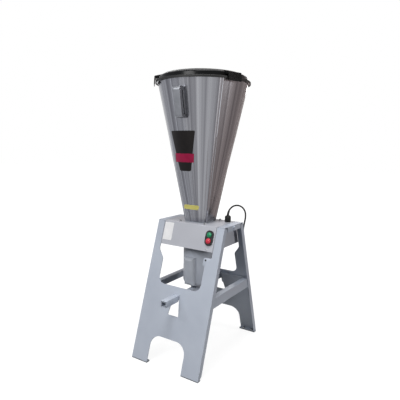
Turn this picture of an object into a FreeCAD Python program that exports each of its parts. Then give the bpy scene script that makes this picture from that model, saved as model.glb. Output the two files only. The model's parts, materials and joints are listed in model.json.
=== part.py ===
import FreeCAD, Part
import math
import os
import Sketcher

# Tilting floor blender: a tapered steel cup on a motor head that tips between two leaning steel frames.
# Units are millimetres. X runs along the front, Y from front to back and Z up.
# The origin is on the floor, midway between the four feet.

Vector = FreeCAD.Vector
ACROSS_X = Vector(1, 0, 0)
ALONG_Y = Vector(0, 1, 0)
UP_Z = Vector(0, 0, 1)

# Driving dimensions
SIZES = {
    "sheet": 2.5,
    "seat_gap": 0.1,
    "pad_height": 4,
    "stand_width": 330,
    "deck_height": 565,
    "top_depth": 160,
    "lean_angle": 17.7,
    "edge_flange": 22,
    "foot_flange": 18,
    "arch_half": 85,
    "arch_height": 113,
    "arch_corner": 45,
    "window_rise": 24,
    "window_half": 104,
    "window_corner": 30,
    "lobe_top_drop": 120,
    "lobe_foot_drop": 154,
    "lobe_corner": 20,
    "slot_height": 78,
    "slot_foot_half": 26,
    "slot_play": 1.5,
    "beam_flange": 22,
    "beam_flange_half": 57,
    "rail_rise": 15,
    "rail_height": 40,
    "rail_width": 24,
    "head_width": 258,
    "head_gap": 2,
    "head_height": 98,
    "head_bend": 3,
    "pivot_drop": 13,
    "pivot_radius": 6,
    "pivot_play": 0.06,
    "bush_wall": 3,
    "bush_flange": 14,
    "bush_flange_play": 0.3,
    "bar_side": 20,
    "bar_wall": 1.5,
    "bar_clearance": 8,
    "bar_reach": 258,
    "bar_pin_radius": 4,
    "bracket_sheet": 4,
    "bracket_width": 60,
    "motor_radius": 72,
    "motor_wall": 5,
    "motor_length": 274.5,
    "end_cover_height": 26,
    "end_cover_round": 20,
    "motor_plate": 146,
    "motor_plate_height": 12,
    "stator_height": 100,
    "stator_rise": 62,
    "winding_height": 18,
    "rotor_radius": 38,
    "air_gap": 0.5,
    "shaft_radius": 8,
    "bearing_radius": 20,
    "bearing_height": 12,
    "fan_radius": 52,
    "capacitor_half": 24,
    "capacitor_rise": 10,
    "capacitor_height": 120,
    "capacitor_front": 92,
    "capacitor_round": 15,
    "cup_turn": 5,
    "cup_wall": 1.5,
    "cup_gasket": 5,
    "cup_base_half": 52.5,
    "cup_base_corner": 10,
    "cup_floor": 3,
    "cup_mid_radius": 141,
    "cup_mid_rise": 360,
    "cup_ridge_angle": 15,
    "cup_top_radius": 187,
    "cup_height": 570,
    "rim_reach": 7,
    "rim_height": 3,
    "hub_radius": 22,
    "hub_flange": 34,
    "hub_height": 34,
    "blade_reach": 44,
    "handle_width": 30,
    "handle_sheet": 4,
    "handle_reach": 40,
    "handle_drop": 35,
    "handle_height": 114,
    "lid_radius": 186,
    "lid_wall": 5,
    "lid_height": 25,
    "lid_crown": 11,
    "seal_height": 3,
    "seal_skirt": 2.5,
    "tab_width": 62,
    "tab_gap": 2,
    "tab_wall": 4,
    "tab_drop": 14,
    "switch_across": 36,
    "switch_height": 62,
    "switch_thick": 5,
    "switch_inset": 25,
    "switch_drop": 46,
    "button_radius": 10.5,
    "button_play": 0.4,
    "button_spacing": 25,
    "button_proud": 4,
    "button_travel": 3,
    "contact_tall": 60,
    "gland_inset": 21,
    "gland_y": 48,
    "gland_radius": 11,
    "gland_height": 24,
    "gland_thread": 8,
    "cord_radius": 3.5,
}

doc = FreeCAD.newDocument("floor_blender")
sheet_page = doc.addObject("Spreadsheet::Sheet", "Sizes")
for line, (alias, number) in enumerate(SIZES.items(), start=1):
    sheet_page.set("A%d" % line, alias)
    sheet_page.set("B%d" % line, str(number))
    sheet_page.setAlias("B%d" % line, alias)
doc.recompute()


class Size:
    """A number from the sheet, kept with the formula that gives it."""

    def __init__(self, formula, number):
        self.formula = formula
        self.number = number

    def joined(self, sign, other, number, swapped=False):
        other_formula = other.formula if isinstance(other, Size) else repr(float(other))
        first, second = (other_formula, self.formula) if swapped else (self.formula, other_formula)
        return Size("(%s %s %s)" % (first, sign, second), number)

    def __add__(self, other):
        return self.joined("+", other, self.number + num(other))

    def __radd__(self, other):
        return self.joined("+", other, num(other) + self.number, swapped=True)

    def __sub__(self, other):
        return self.joined("-", other, self.number - num(other))

    def __rsub__(self, other):
        return self.joined("-", other, num(other) - self.number, swapped=True)

    def __mul__(self, other):
        return self.joined("*", other, self.number * num(other))

    def __rmul__(self, other):
        return self.joined("*", other, num(other) * self.number, swapped=True)

    def __truediv__(self, other):
        return self.joined("/", other, self.number / num(other))

    def __neg__(self):
        return Size("(0 - %s)" % self.formula, -self.number)


def num(value):
    return value.number if isinstance(value, Size) else float(value)


def cosine(angle):
    return Size("cos(%s * 1 deg)" % angle.formula, math.cos(math.radians(angle.number)))


def sine(angle):
    return Size("sin(%s * 1 deg)" % angle.formula, math.sin(math.radians(angle.number)))


def bind(thing, prop, value):
    """Ties a property to the sheet, or sets it where the value is a plain number."""
    owner, _, axis = prop.partition(".Base.")
    if isinstance(value, Size):
        thing.setExpression(prop, value.formula)
    elif axis:
        placement = getattr(thing, owner)
        base = placement.Base
        setattr(base, axis, float(value))
        placement.Base = base
        setattr(thing, owner, placement)
    else:
        setattr(thing, prop, value)


S = {alias: Size("Sizes." + alias, float(sheet_page.get(alias))) for alias in SIZES}
COS = cosine(S["lean_angle"])
SIN = sine(S["lean_angle"])
TAN = SIN / COS

# Sizes that follow from the driving ones
HALF_WIDTH = S["stand_width"] / 2
HALF_TOP = S["top_depth"] / 2
HALF_BASE = HALF_TOP + S["deck_height"] * TAN
HEAD_HALF = S["head_width"] / 2
MOUTH_HALF = HEAD_HALF + S["head_gap"]
DECK_UNDER = S["deck_height"] - S["sheet"]
PIVOT_HEIGHT = S["deck_height"] - S["pivot_drop"]
MOTOR_FOOT = DECK_UNDER - S["motor_length"]
STATOR_FOOT = MOTOR_FOOT + S["stator_rise"]
CAPACITOR_FOOT = MOTOR_FOOT + S["capacitor_rise"]
WINDOW_FOOT = MOTOR_FOOT + S["window_rise"]
LOBE_TOP = S["deck_height"] - S["lobe_top_drop"]
LOBE_FOOT = S["deck_height"] - S["lobe_foot_drop"]
BAR_TOP = MOTOR_FOOT - S["bar_clearance"]
BAR_MID = BAR_TOP - S["bar_side"] / 2
SLOT_FOOT = BAR_TOP - S["slot_height"]
RAIL_TOP = BAR_TOP + S["rail_rise"]
SWITCH_X = HEAD_HALF - S["switch_inset"]
SWITCH_LEVEL = S["deck_height"] - S["switch_drop"]
GLAND_X = HEAD_HALF - S["gland_inset"]
CUP_FOOT = S["deck_height"] + S["cup_gasket"]
CUP_MID = S["deck_height"] + S["cup_mid_rise"]
CUP_TOP = CUP_FOOT + S["cup_height"]
HANDLE_TOP = CUP_TOP - S["handle_drop"]
HANDLE_FOOT = HANDLE_TOP - S["handle_height"]
RIM_RADIUS = S["cup_top_radius"] + S["rim_reach"]
RIM_TOP = CUP_TOP + S["rim_height"]
LID_FOOT = RIM_TOP + S["seal_height"]
LID_TOP = LID_FOOT + S["lid_height"]
SKIRT_IN = RIM_RADIUS + 0.5
SKIRT_OUT = SKIRT_IN + S["seal_skirt"]
TAB_INNER = SKIRT_OUT + S["tab_gap"]
TAB_REACH = TAB_INNER + S["tab_wall"]

parts = []


def outside_half(height):
    """Half the stand's depth, over the outer faces of both frames, at a height."""
    return HALF_TOP + (S["deck_height"] - height) * TAN


def inside_half(height):
    """Half the depth between the inner faces of both frames at a height."""
    return outside_half(height) - S["sheet"] / COS


def up(height):
    """Distance up the leaning face to a height above the floor."""
    return height / COS


def leaned(inward, height):
    """A point given by its distance in from the foot line and its height, in a leaning frame's own plane."""
    return (inward * SIN + height * COS, height * SIN - inward * COS)


def place(thing, x=0, y=0, z=0, axis=None, angle=0):
    if axis is not None:
        thing.Placement = FreeCAD.Placement(Vector(), FreeCAD.Rotation(axis, num(angle)))
        if isinstance(angle, Size):
            thing.setExpression("Placement.Rotation.Angle", angle.formula)
    for name, value in zip("xyz", (x, y, z)):
        bind(thing, "Placement.Base." + name, value)
    return thing


def lean(thing, turned=False):
    """Stands a piece drawn flat on the front face, or on the rear face if turned."""
    front = FreeCAD.Rotation(ACROSS_X, 90 - num(S["lean_angle"]))
    turn = FreeCAD.Rotation(UP_Z, 180 if turned else 0)
    thing.Placement = FreeCAD.Placement(Vector(), turn.multiply(front))
    bind(thing, "Placement.Base.y", HALF_BASE if turned else -HALF_BASE)
    return thing


def sketch(body, plane, offset=0):
    drawing = body.newObject("Sketcher::SketchObject", "outline")
    origin_plane = [f for f in body.Origin.OriginFeatures if f.Role == plane][0]
    drawing.AttachmentSupport = [(origin_plane, "")]
    drawing.MapMode = "FlatFace"
    bind(drawing, "AttachmentOffset.Base.z", offset)
    return drawing


def hold(drawing, kind, geometry, point, value):
    """Adds one dimension to a sketch and ties it to the sheet."""
    if abs(num(value)) < 1e-9:
        axis = -2 if kind == "DistanceX" else -1
        drawing.addConstraint(Sketcher.Constraint("PointOnObject", geometry, point, axis))
        return
    index = drawing.addConstraint(Sketcher.Constraint(kind, geometry, point, num(value)))
    if isinstance(value, Size):
        drawing.setExpression("Constraints[%d]" % index, value.formula)


def radius_of(drawing, geometry, value):
    index = drawing.addConstraint(Sketcher.Constraint("Radius", geometry, num(value)))
    if isinstance(value, Size):
        drawing.setExpression("Constraints[%d]" % index, value.formula)


def circle(drawing, x, y, radius):
    centre = Vector(num(x), num(y), 0)
    index = drawing.addGeometry(Part.Circle(centre, UP_Z, num(radius)))
    hold(drawing, "DistanceX", index, 3, x)
    hold(drawing, "DistanceY", index, 3, y)
    radius_of(drawing, index, radius)


def outline(drawing, corners):
    """A closed outline of straight sides. A corner is (x, y), or (x, y, radius) where it is rounded."""
    count = len(corners)
    points = [Vector(num(c[0]), num(c[1]), 0) for c in corners]
    first = drawing.GeometryCount
    starts, ends, arcs = {}, {}, {}
    for i, corner in enumerate(corners):
        here, before, after = points[i], points[i - 1], points[(i + 1) % count]
        back, ahead = (before - here).normalize(), (after - here).normalize()
        starts[i] = ends[i] = here
        if len(corner) == 3:
            half_angle = back.getAngle(ahead) / 2
            trim = num(corner[2]) / math.tan(half_angle)
            middle = here + (back + ahead).normalize() * (num(corner[2]) / math.sin(half_angle))
            ends[i], starts[i] = here + back * trim, here + ahead * trim
            left_turn = back.cross(ahead).z < 0
            arcs[i] = (middle, left_turn)
    for i in range(count):
        drawing.addGeometry(Part.LineSegment(starts[i], ends[(i + 1) % count]))
    for i, corner in enumerate(corners):
        line_in, line_out = first + (i - 1) % count, first + i
        if i not in arcs:
            drawing.addConstraint(Sketcher.Constraint("Coincident", line_in, 2, line_out, 1))
            hold(drawing, "DistanceX", line_out, 1, corner[0])
            hold(drawing, "DistanceY", line_out, 1, corner[1])
            continue
        middle, left_turn = arcs[i]
        from_in, from_out = ends[i] - middle, starts[i] - middle
        angle_in, angle_out = math.atan2(from_in.y, from_in.x), math.atan2(from_out.y, from_out.x)
        begin, finish = (angle_in, angle_out) if left_turn else (angle_out, angle_in)
        if finish < begin:
            finish += 2 * math.pi
        arc = drawing.addGeometry(
            Part.ArcOfCircle(Part.Circle(middle, UP_Z, num(corner[2])), begin, finish)
        )
        corner_point = drawing.addGeometry(Part.Point(points[i]), True)
        hold(drawing, "DistanceX", corner_point, 1, corner[0])
        hold(drawing, "DistanceY", corner_point, 1, corner[1])
        drawing.addConstraint(Sketcher.Constraint("PointOnObject", corner_point, 1, line_in))
        drawing.addConstraint(Sketcher.Constraint("PointOnObject", corner_point, 1, line_out))
        near, far = (1, 2) if left_turn else (2, 1)
        drawing.addConstraint(Sketcher.Constraint("Tangent", line_in, 2, arc, near))
        drawing.addConstraint(Sketcher.Constraint("Tangent", arc, far, line_out, 1))
        radius_of(drawing, arc, corner[2])


def new_body(label):
    body = doc.addObject("PartDesign::Body", label)
    body.Label = label
    parts.append(body)
    return body


def pad(body, drawing, length, both_ways=False, backwards=False):
    feature = body.newObject("PartDesign::Pad", "pad")
    feature.Profile = drawing
    bind(feature, "Length", length)
    feature.SideType = "Symmetric" if both_ways else "One side"
    feature.Reversed = backwards
    return feature


def pocket(body, drawing, length=None, backwards=False):
    """Cuts right through, both ways, unless a length is given."""
    feature = body.newObject("PartDesign::Pocket", "pocket")
    feature.Profile = drawing
    if length is None:
        feature.Type = "ThroughAll"
        feature.SideType = "Symmetric"
    else:
        bind(feature, "Length", length)
        feature.Reversed = backwards
    return feature


def revolved(label, corners, turn_angle=360):
    """A turned piece: corners are (radius, height)."""
    body = new_body(label)
    drawing = sketch(body, "XZ_Plane")
    outline(drawing, corners)
    feature = body.newObject("PartDesign::Revolution", "turned")
    feature.Profile = drawing
    feature.ReferenceAxis = (drawing, ["V_Axis"])
    feature.Angle = turn_angle
    return body


def cylinder(name, radius, height, x=0, y=0, z=0, axis=None, angle=0):
    solid = doc.addObject("Part::Cylinder", name)
    bind(solid, "Radius", radius)
    bind(solid, "Height", height)
    return place(solid, x, y, z, axis, angle)


def block(name, length, width, height, x, y, z):
    solid = doc.addObject("Part::Box", name)
    for prop, value in zip(("Length", "Width", "Height"), (length, width, height)):
        bind(solid, prop, value)
    return place(solid, x, y, z)


def fused(name, solids):
    joined = doc.addObject("Part::MultiFuse", name)
    joined.Shapes = solids
    return joined


def cut(label, base, tools):
    """Takes the tools out of a piece, which then goes by this label."""
    tool = fused(label + "_tools", tools) if len(tools) > 1 else tools[0]
    result = doc.addObject("Part::Cut", label)
    result.Base, result.Tool = base, tool
    if base in parts:
        parts.remove(base)
        base.Label = label + "_blank"
    result.Label = label
    parts.append(result)
    return result


def grouped(label, solids):
    """Like pieces that share one node, each a solid of its own."""
    group = doc.addObject("Part::Compound", label)
    group.Links = solids
    group.Label = label
    for solid in solids:
        if solid in parts:
            parts.remove(solid)
            solid.Label = label + "_one"
    parts.append(group)
    return group


def from_shape(label, shape):
    """A piece whose form no feature makes directly."""
    feature = doc.addObject("Part::Feature", label)
    feature.Label = label
    feature.Shape = shape
    parts.append(feature)
    return feature


def hexagon_head(name, across, height, x, y, z, axis=None, angle=0):
    head = doc.addObject("Part::Prism", name)
    head.Polygon = 6
    bind(head, "Circumradius", across / math.sqrt(3))
    bind(head, "Height", height)
    return place(head, x, y, z, axis, angle)


# Stand: two leaning frames of bent sheet
def leaning_frame(label, turned):
    """One folded plate with its legs, window, bar slot, side flanges and foot flanges."""
    sheet = S["sheet"]
    foot = up(S["pad_height"]) + sheet * TAN
    top = up(DECK_UNDER)
    low, high = S["window_half"], MOUTH_HALF
    lobe_top, lobe_foot = up(LOBE_TOP), up(LOBE_FOOT)
    body = new_body(label)
    face = sketch(body, "XY_Plane")
    outline(face, [
        (-HALF_WIDTH, foot), (-S["arch_half"], foot),
        (-S["arch_half"], up(S["arch_height"]), S["arch_corner"]),
        (S["arch_half"], up(S["arch_height"]), S["arch_corner"]),
        (S["arch_half"], foot), (HALF_WIDTH, foot), (HALF_WIDTH, top), (high, top),
        (high, lobe_top, S["lobe_corner"]), (low, lobe_foot, S["lobe_corner"]),
        (low, up(WINDOW_FOOT), S["window_corner"]),
        (-low, up(WINDOW_FOOT), S["window_corner"]),
        (-low, lobe_foot, S["lobe_corner"]), (-high, lobe_top, S["lobe_corner"]),
        (-high, top), (-HALF_WIDTH, top),
    ])
    pad(body, face, sheet, backwards=True)
    flange_foot = leaned(S["pad_height"] * TAN, S["pad_height"])[0]
    flange = S["edge_flange"]
    for offset in (HALF_WIDTH - sheet, -HALF_WIDTH):
        side = sketch(body, "YZ_Plane", offset)
        outline(side, [
            (flange_foot, 0), (top, 0), (top, -flange),
            (flange_foot + flange * TAN + flange / 2, -flange),
            (flange_foot + flange / 2 * TAN, -flange / 2),
        ])
        pad(body, side, sheet)
    start = S["pad_height"] * TAN
    leg = HALF_WIDTH - S["arch_half"]
    for offset in (S["arch_half"], -HALF_WIDTH):
        shelf = sketch(body, "YZ_Plane", offset)
        outline(shelf, [
            leaned(start + sheet * TAN, S["pad_height"]),
            leaned(start + S["foot_flange"], S["pad_height"]),
            leaned(start + S["foot_flange"], S["pad_height"] + sheet),
            leaned(start + sheet * TAN, S["pad_height"] + sheet),
        ])
        pad(body, shelf, leg)
    slot = sketch(body, "XY_Plane")
    slot_head_half = S["bar_side"] / 2 + S["slot_play"]
    slot_head = up(BAR_TOP + S["slot_play"] * 2)
    outline(slot, [
        (-S["slot_foot_half"], up(SLOT_FOOT), 3), (S["slot_foot_half"], up(SLOT_FOOT), 3),
        (slot_head_half, slot_head), (-slot_head_half, slot_head),
    ])
    pocket(body, slot)
    return lean(body, turned)


leaning_frame("front_frame", turned=False)
leaning_frame("rear_frame", turned=True)


def foot_pad(name, side, end):
    """A rubber strip under one foot flange."""
    leg = HALF_WIDTH - S["arch_half"]
    depth = S["foot_flange"] - S["sheet"] * TAN
    x = S["arch_half"] if side > 0 else -HALF_WIDTH
    inner = HALF_BASE - S["pad_height"] * TAN - S["foot_flange"]
    y = inner if end > 0 else -inner - depth
    return block(name, leg, depth, S["pad_height"], x, y, 0)


grouped("front_foot_pads", [foot_pad("pad_front_left", -1, -1), foot_pad("pad_front_right", 1, -1)])
grouped("rear_foot_pads", [foot_pad("pad_rear_left", -1, 1), foot_pad("pad_rear_right", 1, 1)])


def top_beam(label, side):
    """The capping channel that joins the frames beside the head and holds one pivot bolt."""
    sheet = S["sheet"]
    inner, outer = MOUTH_HALF * side, HALF_WIDTH * side
    step = sheet * side
    low = S["deck_height"] - S["beam_flange"]
    body = new_body(label)
    channel = sketch(body, "XZ_Plane")
    outline(channel, [
        (inner, low), (inner + step, low), (inner + step, DECK_UNDER), (outer - step, DECK_UNDER),
        (outer - step, low), (outer, low), (outer, S["deck_height"]), (inner, S["deck_height"]),
    ])
    pad(body, channel, S["beam_flange_half"] * 2, both_ways=True)
    cap = sketch(body, "XZ_Plane")
    outline(cap, [
        (inner, DECK_UNDER), (outer, DECK_UNDER), (outer, S["deck_height"]), (inner, S["deck_height"]),
    ])
    pad(body, cap, S["top_depth"], both_ways=True)
    bolt_hole = sketch(body, "YZ_Plane")
    circle(bolt_hole, 0, PIVOT_HEIGHT, S["pivot_radius"] + S["seat_gap"])
    pocket(body, bolt_hole)
    return body


top_beam("left_top_beam", -1)
top_beam("right_top_beam", 1)


def side_rail(label, side):
    """An angle between the frames, its ends cut to their lean."""
    bottom = RAIL_TOP - S["rail_height"]
    outer = (HALF_WIDTH - S["sheet"] - S["seat_gap"]) * side
    inner = outer - S["rail_width"] * side
    long_half = inside_half(bottom) - S["seat_gap"]
    short_half = inside_half(RAIL_TOP) - S["seat_gap"]
    body = new_body(label)
    flank = sketch(body, "YZ_Plane", inner if side > 0 else outer)
    outline(flank, [
        (-long_half, bottom), (long_half, bottom), (short_half, RAIL_TOP), (-short_half, RAIL_TOP),
    ])
    pad(body, flank, S["rail_width"])
    hollow = sketch(body, "XZ_Plane")
    wall = outer - S["sheet"] * side
    under = RAIL_TOP - S["sheet"]
    outline(hollow, [
        (inner - side, bottom - 1), (wall, bottom - 1), (wall, under), (inner - side, under),
    ])
    pocket(body, hollow)
    return body


side_rail("left_side_rail", -1)
side_rail("right_side_rail", 1)


def pivot_bolt(label, side):
    """Shoulder bolt through both walls of a top beam, with its hexagon head outside."""
    length = HALF_WIDTH - HEAD_HALF + S["bush_flange"]
    start = (HALF_WIDTH - length) if side > 0 else -HALF_WIDTH
    shank = cylinder(label + "_shank", S["pivot_radius"], length, start, 0, PIVOT_HEIGHT, ALONG_Y, 90)
    head_height = S["pivot_radius"] * 0.8
    head_start = HALF_WIDTH if side > 0 else -HALF_WIDTH - head_height
    head = hexagon_head(label + "_head", S["pivot_radius"] * 3, head_height,
                        head_start, 0, PIVOT_HEIGHT, ALONG_Y, 90)
    bolt = fused(label, [shank, head])
    bolt.Label = label
    parts.append(bolt)


pivot_bolt("left_pivot_bolt", -1)
pivot_bolt("right_pivot_bolt", 1)

# Lock bar: a square tube that hinges behind the rear frame and passes through both slots
BAR_HINGE_Y = outside_half(BAR_MID) + S["bar_side"]
BAR_BACK = BAR_HINGE_Y + S["bar_side"] / 2


def lock_bar():
    side, wall = S["bar_side"], S["bar_wall"]
    body = new_body("lock_bar")
    section = sketch(body, "XZ_Plane", -BAR_BACK)
    half = side / 2
    outline(section, [
        (-half, BAR_MID - half, 2), (half, BAR_MID - half, 2),
        (half, BAR_MID + half, 2), (-half, BAR_MID + half, 2),
    ])
    bore_half = half - wall
    outline(section, [
        (-bore_half, BAR_MID - bore_half), (bore_half, BAR_MID - bore_half),
        (bore_half, BAR_MID + bore_half), (-bore_half, BAR_MID + bore_half),
    ])
    pad(body, section, BAR_BACK + S["bar_reach"])
    pin_hole = sketch(body, "YZ_Plane")
    circle(pin_hole, BAR_HINGE_Y, BAR_MID, S["bar_pin_radius"] + S["pivot_play"])
    pocket(body, pin_hole)


lock_bar()


def bar_bracket():
    """Plate on the rear frame's outer face, open below for the bar, with two ears for its pin."""
    gap_half = S["bar_side"] / 2 + S["slot_play"]
    ear = S["bracket_sheet"]
    low, top = BAR_TOP - S["bar_side"] * 2, BAR_TOP + S["bar_side"]
    body = new_body("lock_bar_bracket")
    base = sketch(body, "YZ_Plane")
    face_low, face_top = outside_half(low) + S["seat_gap"], outside_half(top) + S["seat_gap"]
    outline(base, [(face_low, low), (face_low + ear, low), (face_top + ear, top), (face_top, top)])
    pad(body, base, S["bracket_width"], both_ways=True)
    way = sketch(body, "XZ_Plane")
    outline(way, [
        (-gap_half, low - 5), (gap_half, low - 5),
        (gap_half, BAR_TOP + S["slot_play"]), (-gap_half, BAR_TOP + S["slot_play"]),
    ])
    pocket(body, way)
    ear_low, ear_top = BAR_MID - S["bar_side"] / 2, BAR_MID + S["bar_side"] / 2
    for offset in (gap_half, -gap_half - ear):
        flank = sketch(body, "YZ_Plane", offset)
        outline(flank, [
            (outside_half(ear_low) + S["seat_gap"] + 1, ear_low), (BAR_BACK, ear_low, 4),
            (BAR_BACK, ear_top, 4), (outside_half(ear_top) + S["seat_gap"] + 1, ear_top),
        ])
        pad(body, flank, ear)
    hole = sketch(body, "YZ_Plane")
    circle(hole, BAR_HINGE_Y, BAR_MID, S["bar_pin_radius"] + S["seat_gap"])
    pocket(body, hole)


bar_bracket()

BRACKET_HALF = S["bar_side"] / 2 + S["slot_play"] + S["bracket_sheet"]
cylinder_pin = cylinder("lock_bar_pin", S["bar_pin_radius"], BRACKET_HALF * 2 + 6,
                        -BRACKET_HALF - 3, BAR_HINGE_Y, BAR_MID, ALONG_Y, 90)
cylinder_pin.Label = "lock_bar_pin"
parts.append(cylinder_pin)


# Tilting head: an inverted pan between the top beams
def head_housing():
    sheet = S["sheet"]
    low = S["deck_height"] - S["head_height"]
    body = new_body("head_pan")
    outer = sketch(body, "YZ_Plane")
    outline(outer, [
        (-outside_half(low), low), (outside_half(low), low),
        (HALF_TOP, S["deck_height"], S["head_bend"]), (-HALF_TOP, S["deck_height"], S["head_bend"]),
    ])
    pad(body, outer, S["head_width"], both_ways=True)
    inner = sketch(body, "YZ_Plane", -HEAD_HALF + sheet)
    under = low - 5
    outline(inner, [
        (-inside_half(under), under), (inside_half(under), under),
        (inside_half(DECK_UNDER), DECK_UNDER), (-inside_half(DECK_UNDER), DECK_UNDER),
    ])
    pocket(body, inner, S["head_width"] - sheet * 2, backwards=True)
    deck_holes = sketch(body, "XY_Plane")
    circle(deck_holes, 0, 0, S["hub_radius"] + 1)
    circle(deck_holes, GLAND_X, S["gland_y"], S["gland_thread"] + 0.2)
    for x, y in bolt_places():
        circle(deck_holes, x, y, S["pivot_radius"] / 2 + 0.3)
    pocket(body, deck_holes)
    bush_holes = sketch(body, "YZ_Plane")
    circle(bush_holes, 0, PIVOT_HEIGHT, S["pivot_radius"] + S["bush_wall"] + S["seat_gap"])
    pocket(body, bush_holes)
    openings = []
    for name, level in (("upper", 1), ("lower", -1)):
        rise = S["button_spacing"] / 2 * level
        hole = cylinder(name + "_button_hole", S["button_radius"] + S["button_play"], sheet * 4)
        openings.append(on_front(hole, SWITCH_X, SWITCH_LEVEL, -sheet * 2, rise))
    return cut("head_housing", body, openings)


def bolt_places():
    half = S["motor_plate"] / 2 - 11
    return [(half * a, half * b) for a in (-1, 1) for b in (-1, 1)]


def on_front(thing, x, level, out, rise=0):
    """Puts a piece on the leaning front: out is its distance off the face, rise a step up the slope."""
    slope = level / COS + rise
    thing.Placement = FreeCAD.Placement(
        Vector(), FreeCAD.Rotation(ACROSS_X, 90 - num(S["lean_angle"])))
    thing.setExpression("Placement.Rotation.Angle", "90 - Sizes.lean_angle")
    bind(thing, "Placement.Base.x", x)
    bind(thing, "Placement.Base.y", slope * SIN - out * COS - HALF_BASE)
    bind(thing, "Placement.Base.z", slope * COS + out * SIN)
    return thing


head_housing()


def pivot_bush(label, side):
    """Flanged bronze bush in the head's side wall, running on the pivot bolt."""
    bore = S["pivot_radius"] + S["pivot_play"]
    wall = S["pivot_radius"] + S["bush_wall"]
    flange_face = HEAD_HALF - S["sheet"] - S["seat_gap"]
    outer_end = HEAD_HALF + S["head_gap"] / 2
    inner_end = HEAD_HALF - S["bush_flange"]
    flange = DECK_UNDER - PIVOT_HEIGHT - S["bush_flange_play"]
    bush = revolved(label, [
        (bore, inner_end), (flange, inner_end), (flange, flange_face),
        (wall, flange_face), (wall, outer_end), (bore, outer_end),
    ])
    return place(bush, 0, 0, PIVOT_HEIGHT, ALONG_Y, 90 * side)


pivot_bush("left_pivot_bush", -1)
pivot_bush("right_pivot_bush", 1)


# Motor under the head
MOTOR_BORE = S["motor_radius"] - S["motor_wall"]
SHELL_TOP = DECK_UNDER - S["motor_plate_height"]
SHELL_FOOT = MOTOR_FOOT + S["end_cover_height"]
BRACKET_HEIGHT = 10


def motor_mount():
    """Square top plate with a bearing seat, bolted under the deck."""
    half = S["motor_plate"] / 2
    body = new_body("motor_mount")
    plate = sketch(body, "XY_Plane", SHELL_TOP)
    outline(plate, [(-half, -half, 8), (half, -half, 8), (half, half, 8), (-half, half, 8)])
    pad(body, plate, S["motor_plate_height"] - S["seat_gap"])
    spigot = sketch(body, "XY_Plane", SHELL_TOP)
    circle(spigot, 0, 0, MOTOR_BORE - S["seat_gap"])
    pad(body, spigot, S["bearing_height"], backwards=True)
    bore = sketch(body, "XY_Plane", SHELL_TOP - S["bearing_height"])
    circle(bore, 0, 0, S["bearing_radius"] + S["seat_gap"])
    pocket(body, bore, S["bearing_height"], backwards=True)
    holes = sketch(body, "XY_Plane")
    circle(holes, 0, 0, S["hub_radius"] + 1)
    for x, y in bolt_places():
        circle(holes, x, y, S["pivot_radius"] / 2 + 0.3)
    pocket(body, holes)


motor_mount()


def motor_shell():
    wall = S["motor_radius"]
    shell = revolved("motor_shell", [
        (MOTOR_BORE, SHELL_FOOT), (wall, SHELL_FOOT), (wall, SHELL_TOP - S["seat_gap"]),
        (MOTOR_BORE, SHELL_TOP - S["seat_gap"]),
    ])
    return shell


motor_shell()


def end_bracket():
    """Lower bearing bracket inside the shell's foot."""
    return revolved("lower_bearing_bracket", [
        (S["bearing_radius"] + S["seat_gap"], SHELL_FOOT + 2),
        (MOTOR_BORE - S["seat_gap"], SHELL_FOOT + 2),
        (MOTOR_BORE - S["seat_gap"], SHELL_FOOT + 2 + BRACKET_HEIGHT * 0.6),
        (S["bearing_radius"] + 6, SHELL_FOOT + 2 + BRACKET_HEIGHT * 0.6),
        (S["bearing_radius"] + 6, SHELL_FOOT + 2 + S["bearing_height"]),
        (S["bearing_radius"] + S["seat_gap"], SHELL_FOOT + 2 + S["bearing_height"]),
    ])


end_bracket()


def end_cover():
    """Rounded fan cover with a ring of air slots in its foot."""
    foot, wall = MOTOR_FOOT, 2.5
    top = SHELL_FOOT - S["seat_gap"]
    outer, rounding = S["motor_radius"], S["end_cover_round"]
    body = revolved("motor_end_cover", [
        (0, foot), (outer, foot, rounding), (outer, top), (outer - wall, top),
        (outer - wall, foot + wall, rounding - wall), (0, foot + wall),
    ])
    vents = sketch(body, "XY_Plane")
    for ring, count in ((16, 6), (34, 12)):
        for i in range(count):
            turn = 2 * math.pi * (i + 0.5) / count
            circle(vents, ring * math.cos(turn), ring * math.sin(turn), 4)
    pocket(body, vents)


end_cover()


def ball_bearing(label, foot):
    inner, outer = S["shaft_radius"] + S["pivot_play"], S["bearing_radius"]
    return revolved(label, [
        (inner, foot), (outer, foot), (outer, foot + S["bearing_height"] - 0.5),
        (inner, foot + S["bearing_height"] - 0.5),
    ])


UPPER_BEARING_FOOT = SHELL_TOP - S["bearing_height"]
ball_bearing("upper_bearing", UPPER_BEARING_FOOT)
ball_bearing("lower_bearing", SHELL_FOOT + 2)
revolved("stator_core", [
    (S["rotor_radius"] + S["air_gap"], STATOR_FOOT), (MOTOR_BORE - S["seat_gap"], STATOR_FOOT),
    (MOTOR_BORE - S["seat_gap"], STATOR_FOOT + S["stator_height"]),
    (S["rotor_radius"] + S["air_gap"], STATOR_FOOT + S["stator_height"]),
])


def winding(label, foot):
    """The bundle of copper turns at one end of the stator core."""
    inner, outer, height = S["rotor_radius"] + 4, MOTOR_BORE - 6, S["winding_height"]
    return revolved(label, [
        (inner, foot, 6), (outer, foot, 6), (outer, foot + height, 6), (inner, foot + height, 6),
    ])


winding("lower_winding", STATOR_FOOT - S["winding_height"] - S["seat_gap"])
winding("upper_winding", STATOR_FOOT + S["stator_height"] + S["seat_gap"])


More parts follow.
